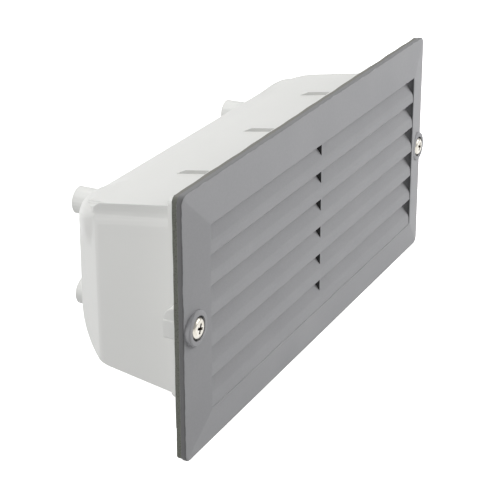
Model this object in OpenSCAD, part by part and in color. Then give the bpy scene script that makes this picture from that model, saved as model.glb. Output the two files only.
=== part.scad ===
// Recessed step light: louvred die-cast fascia on a moulded wall box.
// Millimetres. X runs along the fascia, Y into the wall, Z up. The wall face is Y = 0.

/* [Fascia] */
// Width of the fascia
fascia_w = 240; // [232:1:270]
// Height of the fascia
fascia_h = 106; // [102:1:112]
// Corner radius of the fascia
fascia_r = 2.5; // [1:0.5:5]
// Thickness of the straight rim
rim_t = 2.1; // [1.8:0.1:3]
// Rise of the sloped border
bevel_rise = 2.5; // [1.5:0.1:4]
// Width of the sloped border at each end
end_border = 17.2; // [16.6:0.1:18]
// Width of the sloped border at top and bottom
long_border = 16; // [14:0.5:17]

/* [Louvres] */
// Number of louvres
louvre_count = 6; // [6:1:8]
// Wall of a louvre
louvre_wall = 2.2; // [1.6:0.1:2.4]
// Lean of the front band, in degrees from upright
louvre_lean = 3; // [1:0.5:6]
// Lean of the part above it, in degrees from upright
louvre_bend = 36; // [32:1:42]
// Height of the front band of a louvre
louvre_band = 4.4; // [3.6:0.1:5]
// Radius of the bend, outside
bend_r = 4; // [3.5:0.5:6]
// Radius of the lip
lip_r = 0.8; // [0.4:0.1:0.9]
// Step from the border's crest back to the lips
lip_step = 0.6; // [0.2:0.1:1.2]
// Thickness of the centre divider
divider_t = 3; // [2:0.5:5]
// Step from the lips back to the divider
divider_step = 1.5; // [0.5:0.25:2]

/* [Fascia screws] */
// Radius of the round pad under each screw
pad_r = 7.4; // [6.8:0.1:7.5]
// Height of the pad over the border
pad_rise = 1.7; // [1:0.1:2.5]
// Radius of the sunk seat in the pad
seat_r = 4.6; // [4.3:0.1:5.2]
// Radius of the screw head
head_r = 4.15; // [3.8:0.05:4.25]
// Height of the screw head
head_h = 2.3; // [1.8:0.1:3]
// Radius of the threaded shank
shank_r = 1.95; // [1.8:0.05:2]
// Thickness of the rubber seal under the head
screw_seal_t = 0.8; // [0.5:0.1:1.2]
// Thickness of the push-on retaining washer
retainer_t = 0.6; // [0.4:0.1:0.8]

/* [Gasket] */
// Thickness of the gasket
gasket_t = 2; // [1.6:0.1:2.4]

/* [Back box] */
// Depth of the box behind the wall face, without its posts
box_depth = 59.5; // [57:0.5:70]
// Wall of the box
wall = 2.3; // [2:0.1:2.6]
// Distance from the fascia's end to the mouth flange
flange_margin = 10; // [9:0.5:11]
// Thickness of the mouth flange
flange_t = 5.5; // [5:0.5:6]
// Depth of the recess in the mouth
mouth_depth = 3.2; // [3:0.1:4]
// Depth of the collar behind the flange
collar_l = 8; // [7:0.5:9]
// Step of the collar over the body
collar_step = 1.6; // [1:0.1:2.2]
// Draft of the end walls, from flange to shoulder
end_draft = 1.8; // [0.5:0.1:3]
// Draft of the top and bottom, from flange to shoulder
side_draft = 6.9; // [4:0.1:8]
// Length of the rear shoulder along the depth
shoulder_l = 12.2; // [10:0.1:15]
// Drop of the shoulder at the ends
shoulder_end = 7.5; // [4:0.5:9]
// Drop of the shoulder at the top
shoulder_top = 4.4; // [2:0.2:6]
// Distance from the centre down to where the rear face starts to curve
rear_flat = 14.3; // [13:0.1:19]
// Radius of the upper rear corners
corner_r = 8; // [4:0.5:10]
// Depth of the shallow groove along the end walls
groove_t = 0.9; // [0.4:0.1:1.1]
// Distance from the top edge to the deepest line of the groove
groove_mid = 4.4; // [3.5:0.1:5]
// Spacing of the crush ribs
rib_pitch = 58; // [40:1:70]
// Height of the crush ribs
rib_h = 1.1; // [0.6:0.1:2]
// Width of the crush ribs
rib_w = 2; // [1.4:0.2:4]
// Length of the crush ribs behind the collar
rib_l = 23; // [15:1:28]

/* [Posts and ears] */
// Distance from the end of the rear face in to the posts
post_in_x = 22.9; // [18:0.1:27]
// Distance from the top of the rear face in to the posts
post_in_z = 9.4; // [8.4:0.1:11]
// Radius of the rear posts
post_r = 5.75; // [5:0.25:6.5]
// Length of the rear posts behind the box
post_l = 14.5; // [14.1:0.1:18]
// Radius of the fixing holes through the posts
fixing_r = 2.25; // [1.75:0.05:2.5]
// Depth of the screw ears
ear_l = 9.2; // [8.6:0.1:12]
// Half height of the screw ears
ear_z = 4; // [3.8:0.1:5]
// Radius of the web beside each ear
ear_web_r = 9.6; // [8:0.1:10]

/* [Lens] */
// Thickness of the frosted lens
lens_t = 2.5; // [2:0.1:3]
// Thickness of the lens seal
lens_seal_t = 1.5; // [1:0.1:2]
// Width of the ledge that carries the lens
ledge_w = 3.5; // [3:0.1:4]

/* [Lamp tray] */
// Depth of the tray's floor behind the wall face
tray_y = 21.6; // [21:0.2:23]
// Sheet thickness of the tray
tray_t = 1.2; // [0.8:0.1:1.6]
// Height of the tray's folded edges
tray_edge = 6; // [3:0.5:7]
// Gap from the end of the tray to the circuit board
board_in = 15.3; // [14.5:0.1:30]
// Height of the circuit board
board_h = 18; // [14:1:24]
// Thickness of the circuit board
board_t = 1.6; // [1:0.1:2]
// Number of light sources
led_count = 12; // [6:1:14]
// Length of the driver
driver_w = 90; // [70:1:96]
// Height of the driver
driver_h = 34; // [24:1:36]
// Depth of the driver
driver_d = 17; // [12:1:18]

/* [Cable entry] */
// Radius of the gland's thread
gland_r = 7.9; // [7:0.1:8.4]
// Distance from the terminal block to the cable gland's centre
entry_in = 21; // [19:0.5:23]
// Distance between the two cable entries
entry_pitch = 50; // [46:1:54]
// Radius of the largest cable
cable_r = 4; // [3:0.25:4.5]
// Radius of the supply wires
wire_r = 1.1; // [0.8:0.1:1.2]

/* [Hidden] */
$fn = 64;
cut = 1;
round_over = 0.02;
fit_gap = 0.05;
loose_gap = 0.3;
arc_steps = 7;
wire_sides = 10;
bend_steps = 4;
wire_bend = 4;
grey = [0.62, 0.62, 0.63];
white = [0.9, 0.9, 0.89];
olive = [0.42, 0.43, 0.38];
nickel = [0.82, 0.81, 0.76];
brass = [0.8, 0.66, 0.32];
black = [0.12, 0.12, 0.13];
rubber_grey = [0.4, 0.4, 0.41];
lens_white = [0.95, 0.95, 0.93];
board_white = [0.93, 0.94, 0.9];

half_w = fascia_w / 2;
half_h = fascia_h / 2;
field_x = half_w - end_border;
field_z = half_h - long_border;
rim_y = -gasket_t - rim_t;
crest_y = rim_y - bevel_rise;
lip_y = crest_y + lip_step;
pitch = 2 * field_z / louvre_count;
bend_drop = pitch - louvre_band;
top_gap = 0.5;
cheek_t = 1.2;
cheek_y = 2.4;
pad_edge = 0.2;
screw_x = half_w - pad_r - pad_edge;
pad_y = rim_y - bevel_rise * (half_w - screw_x) / end_border - pad_rise;
pad_round = 1;
seat_floor = 2.6;
seat_y = -gasket_t - seat_floor;
head_y = seat_y - screw_seal_t;
hole_r = shank_r + loose_gap;
retainer_w = 2;
retainer_r = shank_r + retainer_w;
retainer_y = -gasket_t + loose_gap;
cross_w = 1.1;
cross_l = 4.6;
cross_deep = 1.5;

gasket_inset = 0.4;
gasket_x = field_x + cheek_t + loose_gap;
gasket_in_z = 2;
gasket_z = field_z + gasket_in_z;
gasket_hole = retainer_r + loose_gap;

flange_x = half_w - flange_margin;
flange_margin_z = 6;
flange_z = half_h - flange_margin_z;
flange_r = 3;
mouth_in_x = 3.5;
mouth_in_z = 5;
mouth_x = flange_x - mouth_in_x;
mouth_z = flange_z - mouth_in_z;
body_in_x = 12.8;
body_in_z = 6.3;
body_x = flange_x - body_in_x;
body_z = flange_z - body_in_z;
collar_x = body_x + collar_step;
collar_z = body_z + collar_step;
collar_y = flange_t + collar_l;
shoulder_y = box_depth - shoulder_l;
side_lean = atan2(side_draft, shoulder_y);
side_slope = side_draft / shoulder_y;
rear_x = body_x - end_draft - shoulder_end;
rear_z = body_z - side_draft - shoulder_top;
sweep_r = (body_z - side_slope * box_depth - rear_flat) / (1 / cos(side_lean) - side_slope);
sweep_y = box_depth - sweep_r;
sweep_z = rear_flat;
mould_r = 2.5;
groove_start = 0.6;
groove_end = 7.6;
ledge_y = flange_t + lens_t + lens_seal_t;
ledge_t = 2.5;
pocket_in_x = 2.2;
pocket_in_z = 2.7;
pocket_x = body_x - pocket_in_x;
pocket_z = body_z - pocket_in_z;
ledge_x = pocket_x - ledge_w;
ledge_z = pocket_z - ledge_w;
post_y = box_depth + post_l;
post_x = rear_x - post_in_x;
post_z = rear_z - post_in_z;
post_low = post_z + post_r - rear_flat;
post_foot = sweep_y + sqrt(sweep_r * sweep_r - post_low * post_low) - 1.5 * wall;
ear_out = 5.6;
ear_in = 8;
ear_web_t = 4;
ear_web_y = -0.6;
insert_r = shank_r + fit_gap;
insert_out = 2.7;
insert_l = 8.5;

plan = [[body_x, 0], [body_x - end_draft, shoulder_y], [rear_x, box_depth], [-rear_x, box_depth],
    [end_draft - body_x, shoulder_y], [-body_x, 0]];
side = [[0, -body_z], [box_depth, -body_z + side_draft * box_depth / shoulder_y],
    [box_depth, rear_z], [shoulder_y, body_z - side_draft], [0, body_z]];

lens_x = pocket_x - loose_gap;
lens_z = pocket_z - loose_gap;
lens_r = 2;
lug = 6;
lug_x = ledge_x - lug / 2;
lug_z = ledge_z - lug / 2;
lug_l = 10;
small_r = 1.45;
small_head_r = 2.7;
small_head_h = 1.7;
small_l = 7;

pillar_in_x = 11.5;
pillar_in_z = 12.5;
pillar_x = ledge_x - pillar_in_x;
pillar_z = ledge_z - pillar_in_z;
pillar_r = 4;
tray_gap = 1.2;
tray_x = ledge_x - tray_gap;
tray_z = ledge_z - tray_gap;
notch_gap = 1;
notch_x = lug_x - lug / 2 - notch_gap;
notch_z = lug_z - lug / 2 - notch_gap;
tray_back = tray_y + tray_t;
slot_l = 6;
board_y = tray_y - board_t;
board_l = 2 * (tray_x - board_in);
board_screw_in = 12;
board_screw_x = board_l / 2 - board_screw_in;
led_w = 3.5;
led_h = 2.8;
led_t = 0.8;
led_margin = 30;
led_pitch = (board_l - led_margin) / led_count;
driver_in = 11;
driver_x = pillar_x - driver_in - driver_w / 2;
driver_back = tray_back + driver_d;
driver_r = 2.5;
driver_lug = 8;
driver_lug_t = 2;

inner_y = box_depth - wall;
block_l = 34;
block_in = 11.5;
block_x = -(ledge_x - block_in - block_l / 2);
block_h = 18;
block_d = 15;
block_y = inner_y - block_d;
block_foot = 1.5;
pole_pitch = 10;
pole_in = 5.5;
pole_y = inner_y - pole_in;
sleeve_r = 2.6;
sleeve_bore = 1.5;
sleeve_l = 15;
term_z = 4.6;
term_r = 1.25;
term_head_r = 1.9;
term_well_r = 2.2;
term_head_h = 1.4;
block_screw_in = 2;
block_screw_x = block_l / 2 - block_screw_in;

gland_hex = 10.5;
gland_washer_t = 1.2;
gland_washer_r = 10.4;
gland_hex_t = 3.6;
gland_neck_l = 4;
gland_neck_r = 7.4;
gland_nut_t = 8.2;
gland_nut_y = box_depth + gland_washer_t + gland_hex_t + loose_gap;
gland_wall = 1.8;
gland_seal_r = 5.9;
gland_seal_l = 6;
lock_t = 4.5;
lock_hex = 12.2;
gland_in = 6;
gland_x = block_x + block_l / 2 + entry_in;
plug_x = gland_x + entry_pitch;
plug_r = 8;
plug_flange_r = 10;
plug_flange_t = 2.2;
plug_barb_r = 9;
plug_barb_t = 1.6;
entry_r = gland_r + fit_gap * 2;

tag_in_x = 4;
tag_in_z = 11.3;
tag_x = block_x + block_l / 2 - tag_in_x;
tag_z = -(tray_z - tag_in_z);
tag_t = 0.8;
tag_r = 3.6;
earth_r = 1.9;

function unit(v) = v / norm(v);
// points of an arc of radius r that rounds the corner p between a and b
function round_at(a, p, b, r) = r == 0 ? [p] :
    let (u = unit(a - p), v = unit(b - p), h = acos(u * v) / 2, c = p + unit(u + v) * r / sin(h),
        s = p + u * r / tan(h) - c, e = p + v * r / tan(h) - c)
    [for (k = [0 : arc_steps]) c + unit(s * (arc_steps - k) + e * k) * r];
function rounded(p, r) = let (n = len(p))
    [for (i = [0 : n - 1]) each round_at(p[(i + n - 1) % n], p[i], p[(i + 1) % n], r[i])];
// each edge of a convex outline, listed anticlockwise, moved inwards by d
function edge_in(a, b, d) = let (u = unit(b - a)) [a + [-u[1], u[0]] * d, u];
function meet(l, m) = let (t = cross(m[0] - l[0], m[1]) / cross(l[1], m[1])) l[0] + l[1] * t;
function inset(p, d) = let (n = len(p))
    [for (i = [0 : n - 1]) meet(edge_in(p[(i + n - 1) % n], p[i], d), edge_in(p[i], p[(i + 1) % n], d))];

module along_x(x0, x1) {
    translate([x0, 0, 0]) rotate([90, 0, 90]) linear_extrude(height = x1 - x0) children();
}
module along_y(y0, y1) {
    translate([0, y1, 0]) rotate([90, 0, 0]) linear_extrude(height = y1 - y0) children();
}
module along_z(z0, z1) {
    translate([0, 0, z0]) linear_extrude(height = z1 - z0) children();
}
module rod_y(x, z, r, y0, y1) {
    translate([x, y1, z]) rotate([90, 0, 0]) cylinder(r = r, h = y1 - y0);
}
module rod_z(x, y, r, z0, z1) {
    translate([x, y, z0]) cylinder(r = r, h = z1 - z0);
}
// a turned shape about an axis along Y, drawn as radius and depth
module turned(x, z) {
    translate([x, 0, z]) rotate([-90, 0, 0]) rotate_extrude() children();
}
module plate(w, h, r) {
    square([w, h - 2 * r], center = true);
    square([w - 2 * r, h], center = true);
    for (sx = [-1, 1], sz = [-1, 1]) translate([sx * (w / 2 - r), sz * (h / 2 - r)]) circle(r);
}
module both_x(x) {
    for (sx = [-1, 1]) translate([sx * x, 0, 0]) children();
}
module quarters() {
    for (mx = [0, 1], mz = [0, 1]) mirror([mx, 0, 0]) mirror([0, 0, mz]) children();
}
module corners(x, z) {
    for (sx = [-1, 1], sz = [-1, 1]) translate([sx * x, 0, sz * z]) children();
}
// a round wire along a list of points: one ring of corners at each point, square to the way through
function way(p, i) = unit((i == 0 ? p[1] - p[0] : unit(p[i] - p[i - 1]))
    + (i == len(p) - 1 ? p[i] - p[i - 1] : unit(p[min(i + 1, len(p) - 1)] - p[i])));
function across(w) = unit(cross(w, abs(w[0]) > 0.9 ? [0, 0, 1] : [1, 0, 0]));
function carried(p, i) = i == 0 ? across(way(p, 0)) :
    let (u = carried(p, i - 1), w = way(p, i)) unit(u - w * (u * w));
function ring(c, w, u, r) = let (v = cross(w, u))
    [for (k = [0 : wire_sides - 1]) c + (u * cos(k * 360 / wire_sides) + v * sin(k * 360 / wire_sides)) * r];
// swaps each inner point of a route for a short bend of points
function bent(p) = concat([p[0]], [for (i = [1 : 1 : len(p) - 2])
    let (u = unit(p[i - 1] - p[i]), v = unit(p[i + 1] - p[i])) each [for (k = [0 : bend_steps])
        let (s = k / bend_steps) p[i] + (u * (1 - s) * (1 - s) + v * s * s) * wire_bend]], [p[len(p) - 1]]);
module wire(route, r) {
    p = bent(route);
    n = len(p);
    m = wire_sides;
    polyhedron(
        points = [for (i = [0 : n - 1]) each ring(p[i], way(p, i), carried(p, i), r)],
        faces = concat([[for (k = [0 : m - 1]) k]], [[for (k = [m - 1 : -1 : 0]) (n - 1) * m + k]],
            [for (i = [0 : n - 2], k = [0 : m - 1]) each
                [[i * m + k, (i + 1) * m + k, i * m + (k + 1) % m],
                [i * m + (k + 1) % m, (i + 1) * m + k, (i + 1) * m + (k + 1) % m]]]));
}

// Fascia

module louvre(zl) {
    t = louvre_lean;
    b = louvre_bend;
    h = (t + b) / 2;
    low = [lip_y, zl - pitch];
    knee = [lip_y + (pitch - bend_drop) * tan(t), zl - bend_drop];
    top = knee + [tan(b), 1] * (bend_drop - top_gap);
    low_r = low + [louvre_wall / cos(t), 0];
    knee_r = knee + [cos(h), -sin(h)] * louvre_wall / cos((b - t) / 2);
    top_r = top + [cos(b), -sin(b)] * louvre_wall;
    polygon(rounded([low, knee, top, top_r, knee_r, low_r],
        [lip_r, bend_r, lip_r, lip_r, bend_r - louvre_wall, lip_r]));
}

module border() {
    intersection() {
        along_z(-fascia_h, fascia_h)
            polygon([[-half_w, -gasket_t], [half_w, -gasket_t], [half_w, rim_y], [field_x, crest_y],
                [-field_x, crest_y], [-half_w, rim_y]]);
        along_x(-fascia_w, fascia_w)
            polygon([[-gasket_t, -half_h], [-gasket_t, half_h], [rim_y, half_h], [crest_y, field_z],
                [crest_y, -field_z], [rim_y, -half_h]]);
        along_y(crest_y - cut, -gasket_t) plate(fascia_w, fascia_h, fascia_r);
    }
}

module pad() {
    turned(0, 0) polygon(rounded([[0, -gasket_t], [0, pad_y], [pad_r, pad_y], [pad_r, -gasket_t]],
        [0, 0, pad_round, 0]));
}

module fascia() color(grey) {
    difference() {
        union() {
            difference() {
                border();
                along_y(crest_y - 2 * cut, cut) square([2 * field_x, 2 * field_z], center = true);
            }
            for (i = [0 : louvre_count - 1])
                along_x(-field_x - cheek_t / 2, field_x + cheek_t / 2) louvre(field_z - i * pitch);
            both_x(field_x + cheek_t / 2) along_x(-cheek_t / 2, cheek_t / 2)
                translate([(rim_y + cheek_y) / 2, 0]) square([cheek_y - rim_y, 2 * field_z], center = true);
            along_x(-divider_t / 2, divider_t / 2)
                translate([(lip_y + divider_step + cheek_y) / 2, 0])
                    square([cheek_y - lip_y - divider_step, 2 * field_z], center = true);
            both_x(screw_x) pad();
        }
        along_x(-divider_t / 2, divider_t / 2)
            translate([crest_y - cut, -field_z + lip_r])
                square([lip_y + divider_step - crest_y + cut, 2 * field_z - lip_r - top_gap]);
        for (sx = [-1, 1]) {
            rod_y(sx * screw_x, 0, seat_r, pad_y - cut, seat_y);
            rod_y(sx * screw_x, 0, hole_r, seat_y - cut, cut);
        }
    }
}

module fascia_gasket() color(olive)
    along_y(-gasket_t, 0) difference() {
        plate(fascia_w - 2 * gasket_inset, fascia_h - 2 * gasket_inset, fascia_r);
        square([2 * gasket_x, 2 * gasket_z], center = true);
        for (sx = [-1, 1]) translate([sx * screw_x, 0]) circle(gasket_hole);
    }

module screw() {
    difference() {
        turned(0, 0) polygon(rounded([[0, head_y], [0, head_y - head_h], [head_r, head_y - head_h],
            [head_r, head_y]], [0, 0, head_h * 0.6, 0]));
        for (a = [0, 90]) rotate([0, a, 0])
            translate([0, head_y - head_h + cross_deep / 2 - cut / 2, 0])
                cube([cross_l, cross_deep + cut, cross_w], center = true);
    }
    rod_y(0, 0, shank_r, head_y - fit_gap, ear_l + cut);
}

module screw_left() color(nickel) translate([-screw_x, 0, 0]) screw();
module screw_right() color(nickel) translate([screw_x, 0, 0]) screw();

module screw_seals() color(black)
    both_x(screw_x) along_y(head_y, seat_y) difference() {
        circle(head_r);
        circle(shank_r + loose_gap / 2);
    }

module retainer() {
    along_y(retainer_y, retainer_y + retainer_t) difference() {
        circle(retainer_r);
        circle(shank_r + fit_gap);
    }
}
module retainer_left() color(nickel) translate([-screw_x, 0, 0]) retainer();
module retainer_right() color(nickel) translate([screw_x, 0, 0]) retainer();

// Back box

// keeps the inside of a rounded corner: c is the arc's centre, the corner lies towards n and m
module corner_waste(r, over, turn) {
    difference() {
        polygon([[0, 0], [r + over, 0], [r + over, (r + over) * tan(turn / 2)],
            (r + over) * [cos(turn), sin(turn)]]);
        circle(r + round_over);
    }
}

// the body as two crossed outlines, each drawn in by d, with the same centres for its radii
module tub(d) {
    p = inset(plan, d);
    s = inset(side, d);
    low = inset(side, d)[1];
    difference() {
        intersection() {
            along_z(-fascia_h, fascia_h) polygon(p);
            along_x(-fascia_w, fascia_w) polygon(s);
        }
        along_x(-fascia_w, fascia_w) translate([sweep_y, -sweep_z]) rotate(-90 + side_lean)
            corner_waste(sweep_r - d, 3 * cut, 90 - side_lean);
        for (sx = [0, 1]) mirror([sx, 0, 0]) rear_corner(p[1], p[2], s[2], s[3], d);
    }
}

// takes the edge where the end shoulder meets the top shoulder down to a radius
module rear_corner(p1, p2, s2, s3, d) {
    n = unit([p2[1] - p1[1], p1[0] - p2[0], 0]);
    m = unit([0, s3[1] - s2[1], s2[0] - s3[0]]);
    e = unit(cross(n, m));
    be = acos(e[2]);
    al = atan2(e[1], e[0]);
    ax = [cos(be) * cos(al), cos(be) * sin(al), -sin(be)];
    ay = [-sin(al), cos(al), 0];
    turn = acos(n * m);
    r = corner_r - d;
    edge = [p2[0], box_depth - d, s2[1]];
    c = edge - (n + m) * r / (1 + n * m);
    translate(c) rotate([0, be, al]) rotate([0, 0, atan2(n * ay, n * ax)])
        along_z(-3 * shoulder_l, 3 * shoulder_l) corner_waste(r, shoulder_end, turn);
}

// a shallow groove along the top of an end wall, parallel to the edge above it
module end_groove() {
    up = (groove_mid - groove_start) / groove_t;
    down = (groove_end - groove_mid) / groove_t;
    translate([body_x, 0, body_z]) rotate([-side_lean, 0, atan2(end_draft, shoulder_y)])
        along_y(collar_y - wall, box_depth) polygon([[-groove_t, -groove_mid],
            [cut, -groove_mid - down * (groove_t + cut)], [cut, -groove_mid + up * (groove_t + cut)]]);
}

module rib() {
    function top(y) = body_z - side_draft * y / shoulder_y;
    y1 = collar_y + rib_l;
    y2 = y1 - 8 * rib_h;
    along_x(-rib_w / 2, rib_w / 2) polygon([[collar_y - cut, top(collar_y) - wall / 2],
        [collar_y - cut, top(collar_y) + rib_h], [y2, top(y2) + rib_h], [y1, top(y1) - wall / 2]]);
}

module ear() {
    along_y(0, ear_l) translate([ear_out / 2 - ear_in / 2, 0])
        plate(ear_out + ear_in, 2 * ear_z, cut);
    intersection() {
        along_x(-ear_in, -ear_in + ear_web_t) translate([ear_web_y, 0]) circle(ear_web_r);
        along_y(0, ear_l) square([2 * ear_in, 2 * ear_web_r], center = true);
    }
}

module back_box() color(white) {
    difference() {
        union() {
            along_y(0, flange_t) plate(2 * flange_x, 2 * flange_z, flange_r);
            along_y(0, collar_y) plate(2 * collar_x, 2 * collar_z, mould_r);
            difference() {
                tub(0);
                for (sx = [0, 1]) mirror([sx, 0, 0]) end_groove();
            }
            for (i = [-1 : 1], sz = [0, 1]) mirror([0, 0, sz]) translate([i * rib_pitch, 0, 0]) rib();
            for (sx = [-1, 1], sz = [-1, 1]) rod_y(sx * post_x, sz * post_z, post_r, post_foot, post_y);
            mirror([1, 0, 0]) translate([screw_x, 0, 0]) ear();
            translate([screw_x, 0, 0]) ear();
        }
        along_y(-cut, mouth_depth) plate(2 * mouth_x, 2 * mouth_z, flange_r);
        along_y(-cut, ledge_y) plate(2 * pocket_x, 2 * pocket_z, mould_r);
        along_y(-cut, ledge_y + ledge_t + cut) plate(2 * ledge_x, 2 * ledge_z, mould_r);
        intersection() {
            tub(wall);
            along_y(ledge_y + ledge_t, box_depth) square([fascia_w, fascia_h], center = true);
        }
        for (sx = [-1, 1], sz = [-1, 1])
            rod_y(sx * post_x, sz * post_z, fixing_r, post_foot - wall, post_y + cut);
        for (x = [gland_x, plug_x]) rod_y(x, 0, entry_r, inner_y - cut, box_depth + cut);
        for (sx = [-1, 1]) rod_y(sx * screw_x, 0, insert_out + fit_gap, -cut, ear_l + cut);
    }
    inner_posts();
}

module inner_posts() {
    quarters() translate([lug_x, 0, lug_z]) lens_post();
    intersection() {
        corners(pillar_x, pillar_z) difference() {
            rod_y(0, 0, pillar_r, tray_back, box_depth);
            rod_y(0, 0, small_r + fit_gap, tray_back - cut, tray_back + small_l + cut);
        }
        tub(wall / 2);
    }
    for (sx = [-1, 1]) difference() {
        rod_y(block_x + sx * block_screw_x, 0, small_head_r, inner_y - block_foot, inner_y + wall / 2);
        rod_y(block_x + sx * block_screw_x, 0, term_r + fit_gap, inner_y - block_foot - cut,
            inner_y + wall / 2 - cut / 2);
    }
}

module lens_post() {
    difference() {
        union() {
            along_y(flange_t + lens_t, ledge_y + lug_l) square([lug, lug], center = true);
            intersection() {
                along_y(ledge_y + ledge_t / 2, ledge_y + lug_l) translate([-lug / 2, -lug / 2])
                    square([lug + 2 * ledge_w, lug + 2 * ledge_w]);
                translate([-lug_x, 0, -lug_z]) tub(wall / 2);
            }
        }
        rod_y(0, 0, small_r + fit_gap, 0, flange_t + small_l + cut);
    }
}

module ear_inserts() color(brass)
    both_x(screw_x) along_y(0, insert_l) difference() {
        circle(insert_out);
        circle(insert_r);
    }

// Lens

module diffuser() color(lens_white)
    along_y(flange_t, flange_t + lens_t) difference() {
        plate(2 * lens_x, 2 * lens_z, lens_r);
        for (sx = [-1, 1], sz = [-1, 1]) translate([sx * lug_x, sz * lug_z])
            circle(small_r + loose_gap);
    }

module diffuser_seal() color(rubber_grey)
    along_y(flange_t + lens_t, ledge_y) difference() {
        plate(2 * lens_x, 2 * lens_z, lens_r);
        plate(2 * (ledge_x + loose_gap), 2 * (ledge_z + loose_gap), loose_gap);
    }

module small_screw(x, z, y) {
    rod_y(x, z, small_head_r, y - small_head_h, y);
    rod_y(x, z, small_r, y - small_head_h / 2, y + small_l);
}

module diffuser_screws() color(nickel)
    for (sx = [-1, 1], sz = [-1, 1]) small_screw(sx * lug_x, sz * lug_z, flange_t);

// Lamp tray

module tray_outline() {
    square([2 * tray_x, 2 * notch_z], center = true);
    square([2 * notch_x, 2 * tray_z], center = true);
}

module gear_tray() color(white)
    difference() {
        union() {
            along_y(tray_y, tray_back) tray_outline();
            for (s = [-1, 1]) {
                along_y(tray_y - tray_edge, tray_back) translate([0, s * (tray_z - tray_t / 2)])
                    square([2 * notch_x, tray_t], center = true);
                along_y(tray_y - tray_edge, tray_back) translate([s * (tray_x - tray_t / 2), 0])
                    square([tray_t, 2 * notch_z], center = true);
            }
        }
        for (sx = [-1, 1], sz = [-1, 1])
            rod_y(sx * pillar_x, sz * pillar_z, small_r + loose_gap, tray_y - cut, tray_back + cut);
        for (s = [-1, 1]) {
            rod_y(s * board_screw_x, 0, term_r + fit_gap, tray_y - cut, tray_back + cut);
            rod_y(driver_x + s * (driver_w / 2 + driver_lug / 2), 0, term_r + fit_gap, tray_y - cut,
                tray_back + cut);
        }
        rod_y(tag_x, tag_z, earth_r + fit_gap, tray_y - cut, tray_back + cut);
        along_y(tray_y - cut, tray_back + cut) translate([pillar_x + slot_l / 4, 0])
            plate(slot_l, 2 * slot_l, slot_l / 3);
    }

module tray_screws() color(nickel)
    for (sx = [-1, 1], sz = [-1, 1]) small_screw(sx * pillar_x, sz * pillar_z, tray_y);

module led_board() color(board_white)
    along_y(board_y, tray_y) difference() {
        square([board_l, board_h], center = true);
        for (s = [-1, 1]) translate([s * board_screw_x, 0]) circle(term_r + loose_gap);
    }

module leds() color([1, 0.85, 0.35])
    for (i = [0 : led_count - 1]) translate([(i - (led_count - 1) / 2) * led_pitch, 0, 0])
        along_y(board_y - led_t, board_y) square([led_w, led_h], center = true);

module board_screws() color(nickel)
    for (s = [-1, 1]) {
        rod_y(s * board_screw_x, 0, term_head_r, board_y - term_head_h, board_y);
        rod_y(s * board_screw_x, 0, term_r, board_y - term_head_h / 2, tray_back - fit_gap);
    }

module led_driver() color(board_white)
    translate([driver_x, 0, 0]) difference() {
        union() {
            along_y(tray_back, driver_back) plate(driver_w, driver_h, driver_r);
            along_y(tray_back, tray_back + driver_lug_t)
                plate(driver_w + 2 * driver_lug, driver_h / 2, driver_r);
        }
        for (s = [-1, 1]) rod_y(s * (driver_w / 2 + driver_lug / 2), 0, term_r + loose_gap,
            tray_back - cut, driver_back);
    }

module driver_screws() color(nickel)
    for (s = [-1, 1]) translate([driver_x + s * (driver_w / 2 + driver_lug / 2), 0, 0]) {
        rod_y(0, 0, term_head_r, tray_back + driver_lug_t, tray_back + driver_lug_t + term_head_h);
        rod_y(0, 0, term_r, tray_y, tray_back + driver_lug_t + term_head_h / 2);
    }

module earth_tag() color(nickel)
    along_y(tray_back, tray_back + tag_t) translate([tag_x, tag_z]) difference() {
        union() {
            circle(tag_r);
            translate([-tag_r / 2, 0]) square([tag_r, 2 * tag_r]);
        }
        circle(earth_r + loose_gap / 2);
    }

module earth_screw() color(brass) {
    rod_y(tag_x, tag_z, small_head_r, tray_back + tag_t, tray_back + tag_t + small_head_h);
    rod_y(tag_x, tag_z, earth_r, tray_y, tray_back + tag_t + small_head_h / 2);
}

// Terminal block

module poles() {
    for (i = [-1 : 1]) translate([block_x + i * pole_pitch, 0, 0]) children();
}

module terminal_block() color(board_white)
    difference() {
        along_y(block_y, inner_y - block_foot) translate([block_x, 0]) plate(block_l, block_h, cut);
        poles() {
            rod_z(0, pole_y, sleeve_r + fit_gap, -block_h, block_h);
            for (s = [-1, 1]) rod_y(0, s * term_z, term_well_r, block_y - cut, pole_y);
        }
        for (s = [-1, 1]) rod_y(block_x + s * block_screw_x, 0, term_r + fit_gap, block_y - cut,
            inner_y + cut);
    }

module terminal_sleeves() color(brass)
    poles() difference() {
        rod_z(0, pole_y, sleeve_r, -sleeve_l / 2, sleeve_l / 2);
        rod_z(0, pole_y, sleeve_bore, -sleeve_l, sleeve_l);
        for (s = [-1, 1]) rod_y(0, s * term_z, term_r + fit_gap, block_y, pole_y);
    }

module terminal_screws() color(nickel)
    poles() for (s = [-1, 1]) {
        rod_y(0, s * term_z, term_r, pole_y - sleeve_r - 1.5 * term_head_h, pole_y - sleeve_bore);
        rod_y(0, s * term_z, term_head_r, pole_y - sleeve_r - 2.5 * term_head_h,
            pole_y - sleeve_r - 1.2 * term_head_h);
    }

module block_screws() color(nickel)
    for (s = [-1, 1]) translate([block_x + s * block_screw_x, 0, 0]) {
        rod_y(0, 0, term_head_r, block_y - term_head_h, block_y);
        rod_y(0, 0, term_r, block_y - term_head_h / 2, inner_y);
    }

// Wires

wire_in = 2;
pole_out = sleeve_l / 2 - wire_in;
drv_in = driver_x - driver_w / 2;
drv_out = driver_x + driver_w / 2;
lead_z = 5;
wire_mid = (tray_back + driver_back) / 2;

module wire_live() color([0.5, 0.3, 0.15])
    wire([[block_x - pole_pitch, pole_y, pole_out], [block_x - pole_pitch, pole_y, block_h],
        [block_x - pole_pitch / 2, wire_mid, block_h], [drv_in - pole_pitch / 2, wire_mid, lead_z],
        [drv_in, wire_mid, lead_z]], wire_r);

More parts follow.
